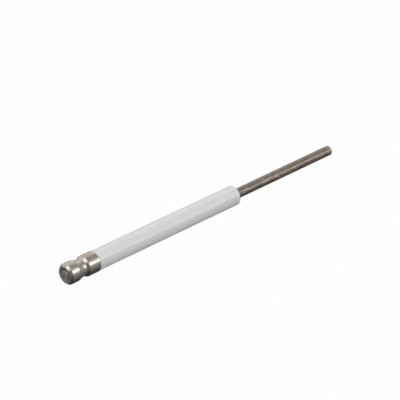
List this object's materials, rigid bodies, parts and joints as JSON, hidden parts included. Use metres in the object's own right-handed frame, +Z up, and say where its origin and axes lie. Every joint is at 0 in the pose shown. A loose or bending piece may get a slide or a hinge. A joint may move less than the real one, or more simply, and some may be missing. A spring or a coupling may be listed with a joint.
{
  "type": "flame sensor probe",
  "caption": "Straight flame sensing electrode: a metal rod held in a white glazed ceramic tube with a turned push-on terminal cap at its rear end.",
  "frame": {"origin": "on the probe's axis, half-way along the visible barrel of the ceramic tube", "axes": "+X along the probe's axis towards the flame tip, +Z up with the probe lying level; the probe is the same all round its axis"},
  "size_m": [0.1042, 0.0064, 0.0064],
  "materials": {
    "nickel_plating": "turned brass under a satin nickel plating",
    "glazed_ceramic": "white glossy glaze",
    "rod_alloy": "drawn heat-resistant alloy, brown-grey oxide with mottled streaks",
    "cement": "matte grainy electrode cement"
  },
  "bodies": {
    "root": {"terminal_cap": "nickel_plating", "ceramic_insulator": "glazed_ceramic", "electrode_rod": "rod_alloy", "mouth_cement": "cement", "rear_cement": "cement", "socket_cement": "cement"}
  },
  "joints": []
}
